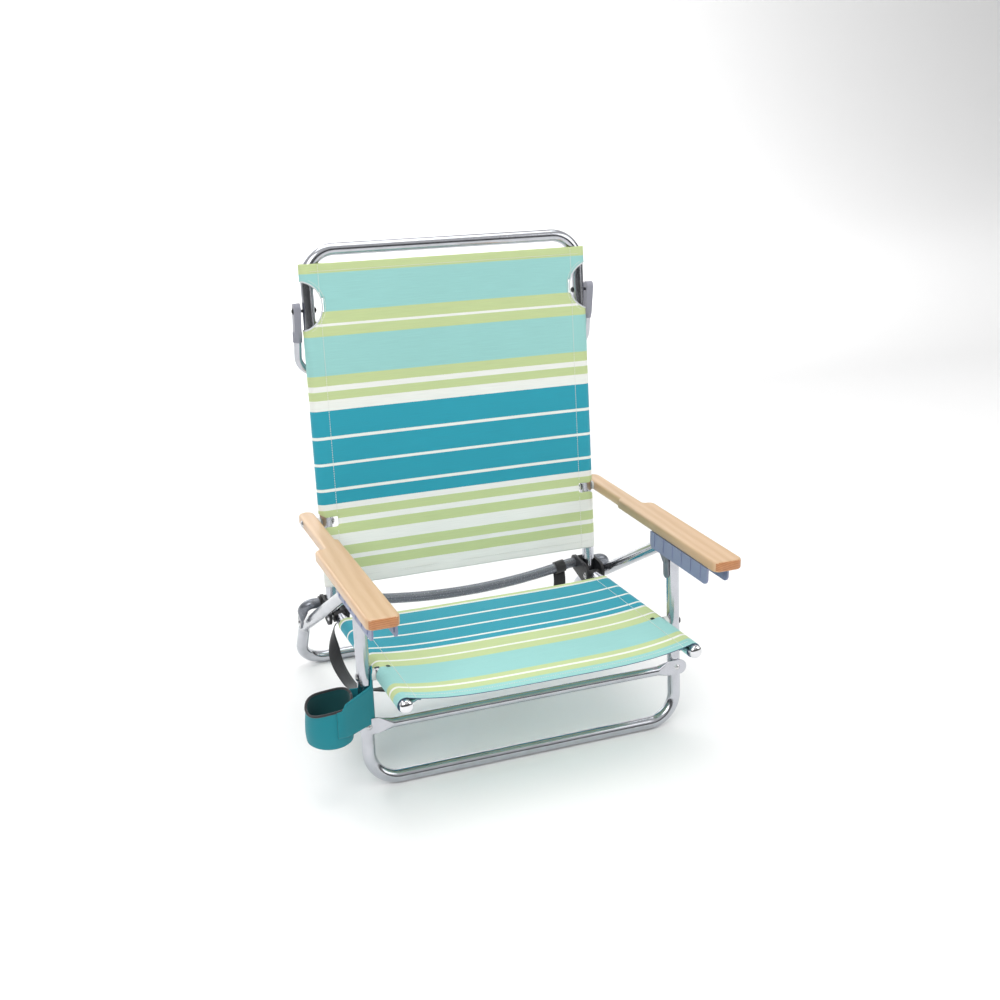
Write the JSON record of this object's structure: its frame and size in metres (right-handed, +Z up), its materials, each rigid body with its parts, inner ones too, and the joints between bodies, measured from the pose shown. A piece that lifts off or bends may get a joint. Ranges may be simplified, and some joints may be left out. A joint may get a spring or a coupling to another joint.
{
  "type": "folding beach chair",
  "caption": "Low folding beach chair with striped sling seat and reclining back, wooden armrests, tube frame, towel bar and side cup holder.",
  "frame": {"origin": "on the floor in the chair's middle plane, 299 mm behind the centre line of the front floor bar", "axes": "+Z up; the sitter faces -Y; X across the chair, the cup holder on the -X side"},
  "size_m": [0.801, 0.703, 0.9427],
  "materials": {
    "polished_tube": "polished",
    "grey_bar": "satin grey",
    "rivet_metal": "bright",
    "chrome_cap": "polished",
    "plate_grey": "satin",
    "black_plastic": "matt",
    "white_plastic": "matt",
    "blue_grey_plastic": "matt",
    "clip_grey": "matt",
    "wood": "satin varnish",
    "striped_fabric": "woven stripes of aqua, teal, green and white",
    "teal_fabric": "woven",
    "black_fabric": "woven"
  },
  "bodies": {
    "seat": {"seat_rails": "polished_tube", "rail_end_caps": "chrome_cap", "rail_hinge_plugs": "black_plastic", "leg_pivot_rivets": "rivet_metal", "leg_pivot_spacers": "white_plastic", "seat_fabric": "striped_fabric", "carry_strap": "black_fabric"},
    "front_leg": {"front_leg_frame": "polished_tube", "front_crossbar": "polished_tube", "crossbar_rivets": "rivet_metal", "leg_top_plates": "plate_grey", "plate_rivets": "plate_grey", "notch_pins": "rivet_metal", "scissor_pins": "rivet_metal", "cup_holder": "teal_fabric", "cup_holder_rim": "black_fabric", "cup_holder_sleeve": "teal_fabric"},
    "rear_leg": {"rear_leg_frame": "polished_tube", "rear_leg_eyes": "black_plastic"},
    "hinge": {"hinge_plates": "black_plastic", "hinge_pins": "rivet_metal"},
    "support_bar": {"support_bar": "grey_bar", "bar_end_rivets": "rivet_metal", "bar_collars": "black_plastic", "strap_keepers": "black_fabric"},
    "back": {"back_frame": "polished_tube", "bar_saddles": "black_plastic", "upright_end_plugs": "black_plastic", "back_fabric": "striped_fabric", "towel_bar_pins": "black_plastic"},
    "arm_pivots": {"arm_pivot_bolts": "rivet_metal", "arm_spacers": "white_plastic"},
    "armrest_left": {"armrest_left": "wood", "arm_channel_left": "blue_grey_plastic", "channel_screws_left": "rivet_metal"},
    "armrest_right": {"armrest_right": "wood", "arm_channel_right": "blue_grey_plastic", "channel_screws_right": "rivet_metal"},
    "towel_bar": {"towel_bar": "polished_tube", "towel_bar_clips": "clip_grey"}
  },
  "joints": [
    {"name": "fold", "type": "hinge", "parent": "seat", "child": "hinge", "pos_m": [0, 0.024, 0.206], "axis": [1, 0, 0], "range_deg": [0, 78], "deforming": ["carry_strap"]},
    {"name": "recline", "type": "hinge", "parent": "hinge", "child": "back", "pos_m": [0, 0.082, 0.2155], "axis": [-1, 0, 0], "range_deg": [0, 56]},
    {"name": "leg_fold", "type": "hinge", "parent": "seat", "child": "front_leg", "pos_m": [0, -0.2749, 0.2208], "axis": [1, 0, 0], "range_deg": [0, 71.3]},
    {"name": "leg_scissor", "type": "hinge", "parent": "front_leg", "child": "rear_leg", "pos_m": [0, -0.23, 0.3745], "axis": [-1, 0, 0], "range_deg": [0, 52.6]},
    {"name": "bar_swing", "type": "hinge", "parent": "hinge", "child": "support_bar", "pos_m": [0, 0.082, 0.2155], "axis": [-1, 0, 0], "range_deg": [0, 135.6]},
    {"name": "arm_level", "type": "hinge", "parent": "back", "child": "arm_pivots", "pos_m": [0, 0.08081, 0.394], "axis": [1, 0, 0], "range_deg": [0, 46.8]},
    {"name": "arm_fold_left", "type": "hinge", "parent": "arm_pivots", "child": "armrest_left", "pos_m": [0, 0.08081, 0.394], "axis": [-1, 0, 0], "range_deg": [0, 85.7]},
    {"name": "arm_fold_right", "type": "hinge", "parent": "arm_pivots", "child": "armrest_right", "pos_m": [0, 0.08081, 0.394], "axis": [-1, 0, 0], "range_deg": [0, 85.7]},
    {"name": "towel_swing", "type": "hinge", "parent": "back", "child": "towel_bar", "pos_m": [0, 0.14087, 0.816], "axis": [1, 0, 0], "range_deg": [0, 150]}
  ],
  "couplings": [
    {"joint": "leg_fold", "follows": "fold", "ratio": 0.91304},
    {"joint": "leg_scissor", "follows": "fold", "ratio": 0.67391},
    {"joint": "bar_swing", "follows": "fold", "ratio": 1.738},
    {"joint": "arm_fold_left", "follows": "fold", "ratio": 1.0977},
    {"joint": "arm_fold_right", "follows": "fold", "ratio": 1.0977},
    {"joint": "arm_level", "follows": "recline", "ratio": 0.831}
  ]
}
